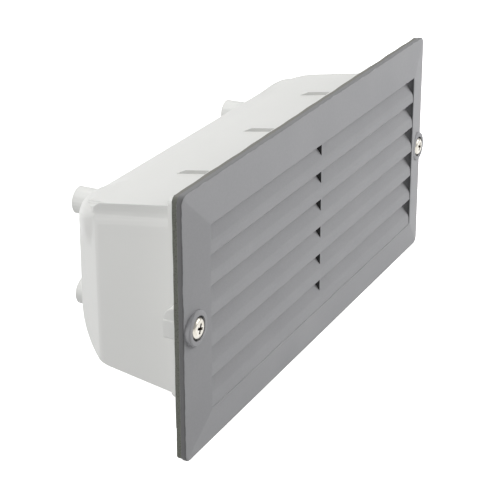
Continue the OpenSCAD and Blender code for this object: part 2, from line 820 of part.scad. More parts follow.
module wire_neutral() color([0.2, 0.4, 0.75])
    wire([[block_x, pole_y, pole_out], [block_x, pole_y, block_h * 0.75],
        [drv_in - pole_pitch, pole_y - pole_pitch / 2, block_h / 2],
        [drv_in - pole_pitch / 2, wire_mid, -lead_z], [drv_in, wire_mid, -lead_z]], wire_r);

module wire_earth() color([0.35, 0.65, 0.25])
    wire([[block_x + pole_pitch, pole_y, -pole_out], [block_x + pole_pitch, pole_y, -block_h],
        [tag_x, wire_mid, -block_h], [tag_x, tray_back + tag_t + wire_r + fit_gap, tag_z + 2 * tag_r]],
        wire_r);

module dc_wire(z) {
    wire([[drv_out, wire_mid, z], [pillar_x + slot_l / 4, wire_mid, z],
        [pillar_x + slot_l / 4, board_y - 2 * wire_r, z],
        [board_l / 2 - 2 * wire_r, board_y - wire_r - fit_gap, z]], wire_r);
}
module wire_dc_positive() color([0.8, 0.15, 0.12]) dc_wire(slot_l / 2);
module wire_dc_negative() color(black) dc_wire(-slot_l / 2);

// Cable entry

hex_y = box_depth + gland_washer_t;
neck_y = hex_y + gland_hex_t;

module hex(r) {
    circle(r, $fn = 6);
}

module gland_body() color(black)
    translate([gland_x, 0, 0]) difference() {
        union() {
            along_y(hex_y, neck_y) hex(gland_hex);
            rod_y(0, 0, gland_r, inner_y - gland_in, hex_y + fit_gap);
            rod_y(0, 0, gland_neck_r, neck_y - fit_gap, neck_y + gland_neck_l);
        }
        rod_y(0, 0, gland_seal_r - gland_wall / 2, inner_y - gland_in - cut, neck_y);
        rod_y(0, 0, gland_seal_r + fit_gap, neck_y - gland_wall, neck_y + gland_neck_l + cut);
    }

module gland_washer() color(rubber_grey)
    translate([gland_x, 0, 0]) along_y(box_depth, hex_y) difference() {
        circle(gland_washer_r);
        circle(gland_r + fit_gap);
    }

module gland_seal() color(rubber_grey)
    translate([gland_x, 0, 0]) along_y(neck_y - gland_wall, neck_y - gland_wall + gland_seal_l)
        difference() {
            circle(gland_seal_r);
            circle(cable_r);
        }

module gland_nut() color(black)
    translate([gland_x, 0, 0]) difference() {
        union() {
            along_y(gland_nut_y, gland_nut_y + gland_nut_t / 2) hex(gland_hex);
            turned(0, 0) polygon(rounded([[0, gland_nut_y], [gland_hex * 0.86, gland_nut_y],
                [gland_hex * 0.86, gland_nut_y + gland_nut_t], [0, gland_nut_y + gland_nut_t]],
                [0, 0, 3, 0]));
        }
        rod_y(0, 0, gland_neck_r + fit_gap, gland_nut_y - cut, neck_y - gland_wall + gland_seal_l + loose_gap);
        rod_y(0, 0, cable_r + loose_gap, gland_nut_y, gland_nut_y + gland_nut_t + cut);
    }

module gland_locknut() color(black)
    translate([gland_x, 0, 0]) along_y(inner_y - lock_t, inner_y) difference() {
        hex(lock_hex);
        circle(gland_r + fit_gap);
    }

module blanking_plug() color(rubber_grey)
    translate([plug_x, 0, 0]) turned(0, 0)
        polygon([[0, inner_y - plug_barb_t], [plug_barb_r - cut, inner_y - plug_barb_t],
            [plug_barb_r, inner_y], [plug_r, inner_y], [plug_r, box_depth],
            [plug_flange_r, box_depth], [plug_flange_r - cut, box_depth + plug_flange_t],
            [0, box_depth + plug_flange_t]]);

back_box();
ear_inserts();
fascia();
fascia_gasket();
screw_left();
screw_right();
screw_seals();
retainer_left();
retainer_right();
diffuser();
diffuser_seal();
diffuser_screws();
gear_tray();
tray_screws();
led_board();
leds();
board_screws();
led_driver();
driver_screws();
terminal_block();
terminal_sleeves();
terminal_screws();
block_screws();
earth_screw();
earth_tag();
wire_live();
wire_neutral();
wire_earth();
wire_dc_positive();
wire_dc_negative();
gland_body();
gland_washer();
gland_seal();
gland_nut();
gland_locknut();
blanking_plug();
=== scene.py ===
"""Recessed step light: a louvred grey fascia on a white wall box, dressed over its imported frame."""

import math

import bmesh
import bpy
from mathutils import Matrix, Vector


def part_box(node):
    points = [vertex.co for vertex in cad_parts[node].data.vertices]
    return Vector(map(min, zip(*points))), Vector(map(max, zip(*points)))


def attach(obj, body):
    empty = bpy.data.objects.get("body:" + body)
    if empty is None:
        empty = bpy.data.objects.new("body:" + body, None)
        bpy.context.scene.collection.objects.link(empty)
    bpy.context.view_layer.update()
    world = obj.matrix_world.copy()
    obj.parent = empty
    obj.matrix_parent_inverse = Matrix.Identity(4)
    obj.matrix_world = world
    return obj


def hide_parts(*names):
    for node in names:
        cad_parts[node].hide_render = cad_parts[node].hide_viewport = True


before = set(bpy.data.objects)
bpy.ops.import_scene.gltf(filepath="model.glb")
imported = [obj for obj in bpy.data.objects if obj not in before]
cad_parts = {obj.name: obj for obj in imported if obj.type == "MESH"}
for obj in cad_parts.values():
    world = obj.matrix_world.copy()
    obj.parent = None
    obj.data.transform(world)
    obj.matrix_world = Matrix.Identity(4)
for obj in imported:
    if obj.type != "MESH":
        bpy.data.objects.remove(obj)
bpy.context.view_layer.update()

bl_info = {
    "name": "Recessed Step Light",
    "version": (1, 0, 0),
    "blender": (4, 5, 0),
    "location": "View3D > Sidebar > Step Light",
    "description": "Builds the visible pieces and finishes of a louvred recessed step light",
    "category": "Add Mesh",
}

MM = 0.001

# Places that several pieces share, in metres.
SCREW_INSET = 7.6 * MM                     # from the fascia's end to a screw's axis
SCREW_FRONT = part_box("screw_right")[0].y   # front of the screws' heads in the frame
CASTING_REAR = 2.4 * MM                    # rear edge of the fascia's divider and cheeks

# The wall box, in millimetres, as the source has it.
COLLAR_REAR = 13.5                         # rear face of the collar at its mouth
SHOULDER_FRONT = 48.8                      # where its rear shoulder is straight, behind the bend
SHOULDER_REAR = 59.5                       # its rear face
RIB_X = 58                                 # the outer two crush ribs; the third is in the middle
WALL_TOP = 38.7                            # half its height at the collar
WALL_DRAFT = 0.145                         # what the top closes in by per millimetre of depth

# How the modelling functions pick: the share of a normal along an axis from which a face counts
# as facing it, and how far apart two places may be and still count as the same.
FACING = 0.9
NEAR = 0.1 * MM


# Sizes and colours

def length(name, description, millimetres):
    """A setting that is a length."""
    return bpy.props.FloatProperty(
        name=name, description=description, default=millimetres * MM, unit="LENGTH")


def angle(name, description, degrees):
    """A setting that is an angle."""
    return bpy.props.FloatProperty(
        name=name, description=description, default=math.radians(degrees), unit="ROTATION")


def colour(name, description, text):
    """A setting that is an sRGB hex colour."""
    return bpy.props.StringProperty(name=name, description=description, default=text)


class StepLightSizes(bpy.types.PropertyGroup):
    width: length("Fascia width", "Overall width of the fascia", 240)
    height: length("Fascia height", "Overall height of the fascia", 106)
    corner_radius: length("Corner radius", "Radius of the fascia's four corners", 3.4)
    gasket: length("Gasket thickness", "Thickness of the foam behind the fascia", 2)
    rim: length("Rim thickness", "Straight edge of the fascia in front of the gasket", 2.1)
    rise: length("Border rise", "How far the sloped border comes forward", 2.5)
    end_border: length("End border", "Width of the sloped border at each end", 17.2)
    long_border: length("Long border", "Width of the sloped border at top and bottom", 16)
    louvres: bpy.props.IntProperty(
        name="Louvres", description="Number of louvres", default=6, min=2)
    louvre_wall: length("Louvre wall", "Thickness of a louvre", 2.2)
    louvre_band: length("Louvre band", "Height of a louvre's upright front band", 4.4)
    louvre_lean: angle("Louvre lean", "Lean of a louvre's front band from upright", 3)
    louvre_bend: angle("Louvre bend", "Lean of a louvre's upper part from upright", 36)
    divider: length("Divider", "Thickness of the centre divider", 1.6)
    divider_step: length("Divider step", "Step from the louvre lips back to the divider", 1.5)
    soft_edge: length("Soft edge", "Radius that the powder coat gives to edges", 0.45)


class StepLightColours(bpy.types.PropertyGroup):
    coat: colour("Powder coat", "Colour of the fascia", "a8a8aa")
    moulding: colour("Moulding", "Colour of the wall box", "e9e9e6")
    foam: colour("Foam", "Colour of the gasket", "6f7168")
    # The gasket's upward-facing edge gets this paler colour: painted light.
    foam_lit_top: colour("Foam, upper edge", "Colour of the gasket's upper edge", "807f7a")
    plating: colour("Plating", "Colour of the plated screws", "bdbab3")


# Helpers for modelling

def clear_selection():
    """Leaves edit mode and deselects everything."""
    if bpy.context.object is not None and bpy.context.object.mode != "OBJECT":
        bpy.ops.object.mode_set(mode="OBJECT")
    bpy.ops.object.select_all(action="DESELECT")
    bpy.context.view_layer.objects.active = None


def take(piece):
    """Makes the piece the only selected object, and the active one."""
    clear_selection()
    piece.select_set(True)
    bpy.context.view_layer.objects.active = piece


def primitive(name, kind, scale=(1, 1, 1), **how):
    """Adds a primitive, names it and bakes its place into its mesh."""
    clear_selection()
    getattr(bpy.ops.mesh, "primitive_" + kind + "_add")(**how)
    piece = bpy.context.object
    piece.scale = scale
    piece.name = piece.data.name = name
    bpy.ops.object.transform_apply(location=True, rotation=True, scale=True)
    return piece


def block(name, low, high):
    """A box between two corners."""
    low, high = Vector(low), Vector(high)
    return primitive(name, "cube", size=1, location=(low + high) / 2, scale=high - low)


def bar(name, radius, front, rear, x, vertices=48):
    """A round bar along Y, at mid height."""
    return primitive(name, "cylinder", vertices=vertices, radius=radius, depth=rear - front,
                     location=(x, (front + rear) / 2, 0), rotation=(math.pi / 2, 0, 0))


def ring(name, radius, wire, x, y, around, across):
    """A ring about a Y axis at mid height, bent from a round wire of this radius."""
    return primitive(name, "torus", major_radius=radius, minor_radius=wire,
                     major_segments=around, minor_segments=across, location=(x, y, 0),
                     rotation=(math.pi / 2, 0, 0))


def pick(piece, edges=None, faces=None):
    """Opens edit mode with only the chosen edges or faces selected."""
    take(piece)
    bpy.ops.object.mode_set(mode="EDIT")
    bpy.ops.mesh.select_all(action="DESELECT")
    mesh = bmesh.from_edit_mesh(piece.data)
    if edges:
        bpy.ops.mesh.select_mode(type="EDGE")
        for e in mesh.edges:
            e.select_set(bool(edges(e.verts[0].co, e.verts[1].co)))
    if faces:
        bpy.ops.mesh.select_mode(type="FACE")
        for f in mesh.faces:
            f.select_set(bool(faces(f.calc_center_median(), f.normal)))
    mesh.select_flush_mode()
    bmesh.update_edit_mesh(piece.data)


def pick_all(piece):
    """Opens edit mode with everything selected."""
    take(piece)
    bpy.ops.object.mode_set(mode="EDIT")
    bpy.ops.mesh.select_all(action="SELECT")


def done():
    """Leaves edit mode."""
    bpy.ops.object.mode_set(mode="OBJECT")


def pull(offset):
    """Extrudes the selection by an offset."""
    bpy.ops.mesh.extrude_region_move(TRANSFORM_OT_translate={"value": Vector(offset)})


def outwards(piece):
    """Turns every face of the piece outwards."""
    pick_all(piece)
    bpy.ops.mesh.normals_make_consistent(inside=False)
    done()


def apply(piece, kind, **settings):
    """Adds a modifier, sets it and applies it."""
    take(piece)
    modifier = piece.modifiers.new(kind.title(), kind)
    for key, value in settings.items():
        setattr(modifier, key, value)
    bpy.ops.object.modifier_apply(modifier=modifier.name)


def cut(piece, cutter):
    """Cuts the cutter's form out of the piece and removes the cutter."""
    apply(piece, "BOOLEAN", operation="DIFFERENCE", object=cutter, solver="EXACT")
    bpy.data.objects.remove(cutter)


def round_edges(piece, edges, radius, segments):
    """Rounds the edges whose two ends pass the test."""
    pick(piece, edges=edges)
    bpy.ops.mesh.bevel(offset=radius, segments=segments, affect="EDGES")
    done()


def soften(piece, width, segments=3, least=25):
    """Rounds every edge that turns by at least this many degrees."""
    apply(piece, "BEVEL", width=width, segments=segments, limit_method="ANGLE",
          angle_limit=math.radians(least), use_clamp_overlap=True, harden_normals=False)


def smooth(piece, most=40):
    """Smooth shading up to this many degrees, which leaves large flat faces flat."""
    take(piece)
    bpy.ops.mesh.customdata_custom_splitnormals_clear()
    bpy.ops.object.shade_smooth_by_angle(angle=math.radians(most))
    apply(piece, "WEIGHTED_NORMAL", weight=100, thresh=0, keep_sharp=True)


def copy_of(name, node):
    """A merged copy of a frame node, with its flat faces whole again."""
    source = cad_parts[node]
    piece = bpy.data.objects.new(name, source.data.copy())
    piece.data.name = name
    bpy.context.scene.collection.objects.link(piece)
    piece.data.materials.clear()
    pick_all(piece)
    bpy.ops.mesh.remove_doubles(threshold=0.002 * MM)
    bpy.ops.mesh.dissolve_limited(angle_limit=math.radians(0.5))
    done()
    return piece


def joined(name, pieces):
    """One piece from several."""
    clear_selection()
    for piece in pieces:
        piece.select_set(True)
    bpy.context.view_layer.objects.active = pieces[0]
    bpy.ops.object.join()
    piece = bpy.context.object
    piece.name = piece.data.name = name
    return piece


def span(side, near, far):
    """The two X values, lower first, of something that lies between near and far at one side."""
    return sorted((side * near, side * far))


def finish_piece(piece, material, body, nodes=()):
    """Gives a piece its finish in one material slot, ties it to its body and hides the nodes it
    replaces.
    """
    piece.data.materials.clear()
    piece.data.materials.append(material)
    for polygon in piece.data.polygons:
        polygon.material_index = 0
    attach(piece, body)
    if nodes:
        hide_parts(*nodes)
    clear_selection()


# Helpers for materials

def hex_colour(text):
    """An sRGB hex colour as linear red, green, blue and alpha."""
    parts = [int(text[i:i + 2], 16) / 255 for i in (0, 2, 4)]
    return tuple(c / 12.92 if c <= 0.04045 else ((c + 0.055) / 1.055) ** 2.4 for c in parts) + (1.0,)


def tone(text, red, green=None, blue=None):
    """A hex colour times one share, or times a share each of red, green and blue."""
    r, g, b, _ = hex_colour(text)
    return r * red, g * (red if green is None else green), b * (red if blue is None else blue), 1


def grey(level):
    """A linear grey."""
    return level, level, level, 1


def add(tree, kind, settings=None, values=None, links=None):
    """Adds one node: its own settings, its socket values and the sockets that feed it."""
    node = tree.nodes.new(kind)
    for key, value in (settings or {}).items():
        setattr(node, key, value)
    for key, value in (values or {}).items():
        node.inputs[key].default_value = value
    for key, source in (links or {}).items():
        tree.links.new(source, node.inputs[key])
    return node


def new_material(name):
    """A node material, its tree and its object coordinates."""
    material = bpy.data.materials.new(name)
    material.use_nodes = True
    shape = add(material.node_tree, "ShaderNodeTexCoord")
    return material, material.node_tree, shape.outputs["Object"]


def noise(tree, place, size, detail, roughness=0.5):
    """Noise whose features are about this many millimetres across."""
    node = add(tree, "ShaderNodeTexNoise",
               values={"Scale": 1 / (size * MM), "Detail": detail, "Roughness": roughness},
               links={"Vector": place})
    return node.outputs["Fac"]


def ramp(tree, source, *stops):
    """Turns a value into a colour between two stops, each a place and its colour."""
    node = add(tree, "ShaderNodeValToRGB", links={"Fac": source})
    for element, (place, shade) in zip(node.color_ramp.elements, stops):
        element.position = place
        element.color = shade
    return node.outputs["Color"]


def maths(tree, operation, values=None, links=None):
    """One operation on numbers."""
    return add(tree, "ShaderNodeMath", {"operation": operation}, values, links).outputs["Value"]


def vector_maths(tree, operation, values=None, links=None):
    """One operation on vectors."""
    node = add(tree, "ShaderNodeVectorMath", {"operation": operation}, values, links)
    return node.outputs["Value" if operation == "LENGTH" else "Vector"]


def part(tree, vector, axis):
    """One part of a vector: X, Y or Z."""
    return add(tree, "ShaderNodeSeparateXYZ", links={"Vector": vector}).outputs[axis]


def turned(tree, axis):
    """The part along an axis of the face's own direction."""
    shape = add(tree, "ShaderNodeTexCoord")
    return part(tree, shape.outputs["Normal"], axis)


def remap(tree, source, low, high, to_low=0.0, to_high=1.0):
    """Moves the range from low to high onto another one, and stops at its ends."""
    node = add(tree, "ShaderNodeMapRange", values={
        "From Min": low, "From Max": high, "To Min": to_low, "To Max": to_high},
        links={"Value": source})
    return node.outputs["Result"]


def mixed(tree, kind, values, links):
    """Mixes colour B into colour A by Factor."""
    node = add(tree, "ShaderNodeMix", {"data_type": "RGBA", "blend_type": kind}, values, links)
    return node.outputs["Result"]


def surface(tree, base, roughness, relief=None, strength=0.0, depth=0.0):
    """Feeds the shader: its colour, its roughness as a number or a socket, and its fine relief."""
    shader = tree.nodes["Principled BSDF"]
    tree.links.new(base, shader.inputs["Base Color"])
    if isinstance(roughness, float):
        shader.inputs["Roughness"].default_value = roughness
    else:
        tree.links.new(roughness, shader.inputs["Roughness"])
    if relief is not None:
        bump = add(tree, "ShaderNodeBump", values={"Strength": strength, "Distance": depth * MM},
                   links={"Height": relief})
        tree.links.new(bump.outputs["Normal"], shader.inputs["Normal"])
    return shader


# Materials

def powder_coat(text, half_w, half_h, radius):
    # Aluminium pressure die casting with a fine-texture polyester powder coat: an even, slightly
    # speckled grey with a satin sheen and a tight orange-peel surface.
    material, tree, place = new_material("Polyester_powder_coat_grey")
    peel = noise(tree, place, 0.9, 3.0, 0.55)
    tint = ramp(tree, noise(tree, place, 28, 2.0),
                (0.3, tone(text, 0.97, 0.97, 0.975)), (0.7, tone(text, 1.03)))
    speck = ramp(tree, peel, (0.35, grey(0.94)), (0.65, grey(1)))
    both = mixed(tree, "MULTIPLY", {"Factor": 1.0}, {"A": tint, "B": speck})
    # The rim's edge faces are painted darker, as painted shade, with an uneven line against the
    # front. They are found by their distance from the rounded outline, and the end faces get the
    # darkest painted shade.
    past = vector_maths(tree, "SUBTRACT", {1: (half_w - radius, 1.0, half_h - radius)},
                        {0: vector_maths(tree, "ABSOLUTE", links={0: place})})
    turn = vector_maths(tree, "MAXIMUM", {1: (0, 0, 0)}, {0: past})
    moved = maths(tree, "MULTIPLY_ADD", {1: 0.9 * MM}, {
        0: noise(tree, place, 7, 2.0), 2: vector_maths(tree, "LENGTH", links={0: turn})})
    mask = remap(tree, moved, radius + 0.08 * MM, radius + 0.25 * MM)
    side = maths(tree, "DIVIDE", {1: radius}, {0: part(tree, turn, "X")})
    # Painted shade colours for the rim's edge: lighter on the top and bottom, darker on the ends.
    edge = ramp(tree, side, (0.2, (0.56, 0.56, 0.55, 1)), (0.75, (0.3, 0.3, 0.295, 1)))
    base = mixed(tree, "MULTIPLY", {}, {"Factor": mask, "A": both, "B": edge})
    surface(tree, base, ramp(tree, peel, (0.3, grey(0.62)), (0.7, grey(0.72))), peel, 0.25, 0.06)
    return material


def painted_recess_shade(name, text, share, depth_lift):
    # Painted shade and light on the side faces between the louvres: faces that turn sideways are
    # painted dark near the front, as painted shade, and the piece is painted paler in the depth by a
    # given factor, as painted light that makes up for the shade there. The front edge is coloured
    # like the rest.
    material, tree, place = new_material(name)
    sideways = maths(tree, "ABSOLUTE", links={0: turned(tree, "X")})
    coat = ramp(tree, sideways, (0.35, tone(text, 1)), (0.65, tone(text, share)))
    deep = remap(tree, part(tree, place, "Y"), -6 * MM, -2.5 * MM, 1.0, depth_lift)
    base = vector_maths(tree, "SCALE", links={0: coat, "Scale": deep})
    surface(tree, base, 0.75, noise(tree, place, 0.9, 3.0), 0.25, 0.06)
    return material


def rib_sides(tree, place):
    """A mask, 1 on the sides of the wall box's crush ribs, where painted shade goes, and 0 elsewhere.
    """
    sideways = maths(tree, "ABSOLUTE", links={0: turned(tree, "X")})
    across = maths(tree, "ABSOLUTE", links={0: part(tree, place, "X")})
    mask = None
    for source, test, limit in (
            (sideways, "GREATER_THAN", 0.7),
            (across, "LESS_THAN", (RIB_X + 4) * MM),
            (part(tree, place, "Y"), "GREATER_THAN", (COLLAR_REAR + 0.1) * MM),
            (part(tree, place, "Z"), "GREATER_THAN", (WALL_TOP - 4.7) * MM)):
        passed = maths(tree, test, {1: limit}, {0: source})
        mask = passed if mask is None else maths(tree, "MULTIPLY", links={0: mask, 1: passed})
    return mask


def moulded(name, text, grain, roughness, rib_shade=1.0):
    """A moulded or coated surface with a fine grain and a faint change of tone.

    With a share under 1 the sides of the crush ribs are painted that much darker, as painted shade.
    """
    material, tree, place = new_material(name)
    fine = noise(tree, place, grain, 4.0)
    tint = ramp(tree, noise(tree, place, 45, 2.0), (0.3, tone(text, 0.98)), (0.7, tone(text, 1)))
    if rib_shade < 1:
        tint = mixed(tree, "MIX", {"B": tone(text, rib_shade)},
                     {"Factor": rib_sides(tree, place), "A": tint})
    rough = ramp(tree, fine, (0.3, grey(roughness - 0.05)), (0.7, grey(roughness + 0.06)))
    surface(tree, tint, rough, fine, 0.2, 0.04)
    return material


def foam(text, lit_top_text):
    # Closed-cell neoprene foam, die cut: dark olive with pinhole cells and no shine. Faces that turn
    # upwards, along the upper edge, are painted paler and greyer than the ends: painted light.
    material, tree, place = new_material("Closed_cell_neoprene_foam")
    cells = add(tree, "ShaderNodeTexVoronoi", values={"Scale": 1 / (0.7 * MM)},
                links={"Vector": place}).outputs["Distance"]
    tint = ramp(tree, cells, (0.0, tone(text, 0.45, 0.45, 0.42)), (0.45, tone(text, 1)))
    base = mixed(tree, "MIX", {"B": hex_colour(lit_top_text)},
                 {"Factor": remap(tree, turned(tree, "Z"), 0.55, 0.85), "A": tint})
    surface(tree, base, 0.92, cells, 0.6, 0.2)
    return material


def plated(name, text, roughness, shade_from=1.0, axis=0.0):
    # Zinc or nickel plated steel: a warm bright metal with fine turning marks and faint staining.
    # Behind a given depth along Y and close to the screw's axis, the cross recess is painted
    # near-black: painted shade.
    material, tree, place = new_material(name)
    stain = noise(tree, place, 2.5, 3.0)
    tint = ramp(tree, stain, (0.35, tone(text, 0.82, 0.8, 0.76)), (0.65, tone(text, 1)))
    past = vector_maths(tree, "SUBTRACT", {1: (axis, 0, 0)},
                        {0: vector_maths(tree, "ABSOLUTE", links={0: place})})
    reach = vector_maths(tree, "LENGTH", links={
        0: vector_maths(tree, "MULTIPLY", {1: (1, 0, 1)}, {0: past})})
    inside = remap(tree, reach, 2.85 * MM, 2.7 * MM)
    deep = remap(tree, part(tree, place, "Y"), shade_from, shade_from + 0.2 * MM)
    recess = maths(tree, "MULTIPLY", links={0: deep, 1: inside})
    base = mixed(tree, "MULTIPLY", {"B": (0.1, 0.075, 0.06, 1)}, {"Factor": recess, "A": tint})
    rough = ramp(tree, stain, (0.3, grey(roughness + 0.08)), (0.7, grey(roughness)))
    shader = surface(tree, base, rough, noise(tree, place, 0.25, 2.0), 0.12, 0.03)
    shader.inputs["Metallic"].default_value = 1.0
    return material


def frosted(text):
    # Opal polycarbonate, satin face: milky, lets a little light through.
    material, tree, place = new_material("Opal_polycarbonate")
    haze = noise(tree, place, 0.8, 3.0)
    tint = ramp(tree, haze, (0.3, tone(text, 0.97)), (0.7, tone(text, 1)))
    shader = surface(tree, tint, 0.35, haze, 0.15, 0.03)
    shader.inputs["Subsurface Weight"].default_value = 0.2
    shader.inputs["Subsurface Radius"].default_value = (2 * MM, 2 * MM, 2 * MM)
    return material


def all_materials(colours, sizes):
    """Every finish on the object, by its plain name."""
    screw_x = sizes.width / 2 - SCREW_INSET
    return {
        "coat": powder_coat(colours.coat, sizes.width / 2, sizes.height / 2, sizes.corner_radius),
        # The divider's and the cheeks' sides carry painted shade, and the cheeks also painted light
        # in the depth.
        "web": painted_recess_shade("Powder_coat_divider_painted_shade", colours.coat, 0.05, 1.0),
        "cheek": painted_recess_shade("Powder_coat_cheek_painted_shade", colours.coat, 0.27, 4.0),
        # Polypropylene, moulded in a lightly blasted tool: soft off-white, low sheen.
        # The sides of the crush ribs are painted darker: painted shade.
        "box": moulded("Moulded_polypropylene_white", colours.moulding, 1.1, 0.48, rib_shade=0.68),
        "foam": foam(colours.foam, colours.foam_lit_top),
        "nickel": plated("Nickel_plated_steel", colours.plating, 0.22),
        # The screws' cross recesses are painted near-black: painted shade.
        "head": plated("Nickel_plated_screw", colours.plating, 0.24, SCREW_FRONT + 1 * MM, screw_x),
        "brass": plated("Turned_brass", "c9a24d", 0.26),
        # EPDM rubber: matt near-black.
        "seal": moulded("EPDM_rubber_black", "1d1d1f", 0.6, 0.8),
        # Silicone rubber: matt grey.
        "silicone": moulded("Silicone_rubber_grey", "77777a", 0.8, 0.7),
        "lens": frosted("f1f1ec"),
        # Steel sheet with a white gloss reflector coat.
        "sheet": moulded("White_coated_steel_sheet", "f2f2f0", 2.2, 0.3),
        # Aluminium-core circuit board under white solder mask.
        "board": moulded("White_solder_mask", "eeefe8", 0.5, 0.35),
        # Phosphor-filled silicone over the light sources.
        "phosphor": moulded("Yellow_phosphor_silicone", "e8b93c", 0.4, 0.4),
        # ABS, textured: the driver's case.
        "driver": moulded("Textured_ABS_white", "e4e4e0", 0.9, 0.55),
        # Polyamide: the terminal block.
        "polyamide": moulded("Polyamide_natural", "dedcd2", 1.2, 0.42),
        # PVC wire sleeves, satin.
        "brown": moulded("PVC_sleeve_brown", "5a3219", 0.9, 0.38),
        "blue": moulded("PVC_sleeve_blue", "2a55b0", 0.9, 0.38),
        "green": moulded("PVC_sleeve_green_yellow", "5f9a2d", 0.9, 0.38),
        "red": moulded("PVC_sleeve_red", "b3211c", 0.9, 0.38),
        "black": moulded("PVC_sleeve_black", "1a1a1c", 0.9, 0.38),
        # Glass-filled nylon: the cable gland.
        "nylon": moulded("Black_nylon", "202124", 0.8, 0.5),
    }


MATERIALS = {}


# The fascia

def outline(sizes):
    """Half the fascia's width and height, and half the louvre field's."""
    half_w, half_h = sizes.width / 2, sizes.height / 2
    return half_w, half_h, half_w - sizes.end_border, half_h - sizes.long_border


def depths(sizes):
    """Depth of the rim's front, the border's crest and the louvre lips."""
    lip_set_back = 0.4 * MM
    rim_y = -sizes.gasket - sizes.rim
    crest_y = rim_y - sizes.rise
    return rim_y, crest_y, crest_y + lip_set_back


def fascia_border(sizes):
    """The mitred sloping frame round the louvres."""
    half_w, half_h, field_x, field_z = outline(sizes)
    rim_y, crest_y, _ = depths(sizes)
    piece = block("fascia_border", (-half_w, rim_y, -half_h), (half_w, -sizes.gasket, half_h))
    # The front face is drawn forward and shrunk to the field, the rear face only shrunk; both
    # are opened, and a wall joins the two openings.
    for side, forward in ((-1, crest_y - rim_y), (1, 0)):
        pick(piece, faces=lambda c, n: side * n.y > FACING)
        pull((0, forward, 0))
        bpy.ops.transform.resize(value=(field_x / half_w, 1, field_z / half_h))
        bpy.ops.mesh.delete(type="ONLY_FACE")
        done()
    pick(piece, edges=lambda a, b: max(abs(a.x), abs(b.x)) < field_x + 5 * NEAR
         and abs(a.y - b.y) < NEAR)
    bpy.ops.mesh.bridge_edge_loops()
    done()
    round_edges(piece, lambda a, b: min(abs(a.x), abs(b.x)) > half_w - 2 * NEAR
                and abs(a.z - b.z) < NEAR and a.x * b.x > 0, sizes.corner_radius, 6)
    outwards(piece)
    soften(piece, sizes.soft_edge, 3, 8)
    return piece


def louvre(sizes, i):
    """One louvre, counted from the top: an upright front band whose upper part leans back."""
    into_cheek, clear_of_next = 0.6 * MM, 0.5 * MM
    knee_radius, lip_radius = 1.2 * MM, 0.8 * MM
    _, _, field_x, field_z = outline(sizes)
    _, _, lip_y = depths(sizes)
    reach = field_x + into_cheek
    band, lean = sizes.louvre_band, sizes.louvre_lean
    pitch = 2 * field_z / sizes.louvres
    low = field_z - (i + 1) * pitch
    knee = low + band
    piece = primitive("louvre_%d" % (i + 1), "plane", size=1,
                      scale=(2 * reach, band / math.cos(lean), 1),
                      rotation=(math.pi / 2 - lean, 0, 0),
                      location=(0, lip_y + band / 2 * math.tan(lean), (low + knee) / 2))
    pick(piece, edges=lambda a, b: min(a.z, b.z) > knee - NEAR)
    rise = pitch - band - clear_of_next
    pull((0, rise * math.tan(sizes.louvre_bend), rise))
    done()
    round_edges(piece, lambda a, b: max(abs(a.z - knee), abs(b.z - knee)) < NEAR, knee_radius, 8)
    # The sheet has to face forward, because its thickness is added behind it.
    if min(piece.data.polygons, key=lambda f: f.center.z).normal.y > 0:
        pick_all(piece)
        bpy.ops.mesh.flip_normals()
        done()
    apply(piece, "SOLIDIFY", thickness=sizes.louvre_wall, offset=-1, use_even_offset=True)
    if i < sizes.louvres - 1:
        round_edges(piece, lambda a, b: abs(a.x - b.x) > reach
                    and max(a.z, b.z) < low + 5 * NEAR, lip_radius, 5)
    outwards(piece)
    smooth(piece, 50)
    return piece


def fascia_pad(sizes, side, name):
    """A low round pad, flat across the border's slope, with a sunk seat for a screw.

    Its floor is closed, and the border runs on under it, so the screw crosses both.
    """
    radius, seat_radius, seat_width = 6.9 * MM, 4.9 * MM, 2.6 * MM
    wall_draft, edge_radius, floor_web = 0.02 * MM, 0.7 * MM, 0.2 * MM
    rim_y, _, _ = depths(sizes)
    front = rim_y - 2.25 * MM
    seat = -sizes.gasket - 2.6 * MM
    rear = -sizes.gasket - 0.4 * MM
    x = side * (sizes.width / 2 - SCREW_INSET)
    piece = bar(name, radius, front, rear, x, 96)
    pick(piece, faces=lambda c, n: n.y < -FACING)
    bpy.ops.mesh.inset(thickness=radius - seat_radius)
    bpy.ops.mesh.inset(thickness=wall_draft)
    pull((0, seat - front, 0))
    bpy.ops.mesh.inset(thickness=seat_width)
    pull((0, rear - seat - floor_web, 0))
    done()
    outwards(piece)

    def on_rim(place):
        return place.y < seat and abs(Vector((place.x - x, place.z)).length - radius) < 1.5 * NEAR
    round_edges(piece, lambda a, b: on_rim(a) and on_rim(b), edge_radius, 5)
    smooth(piece, 35)
    return piece


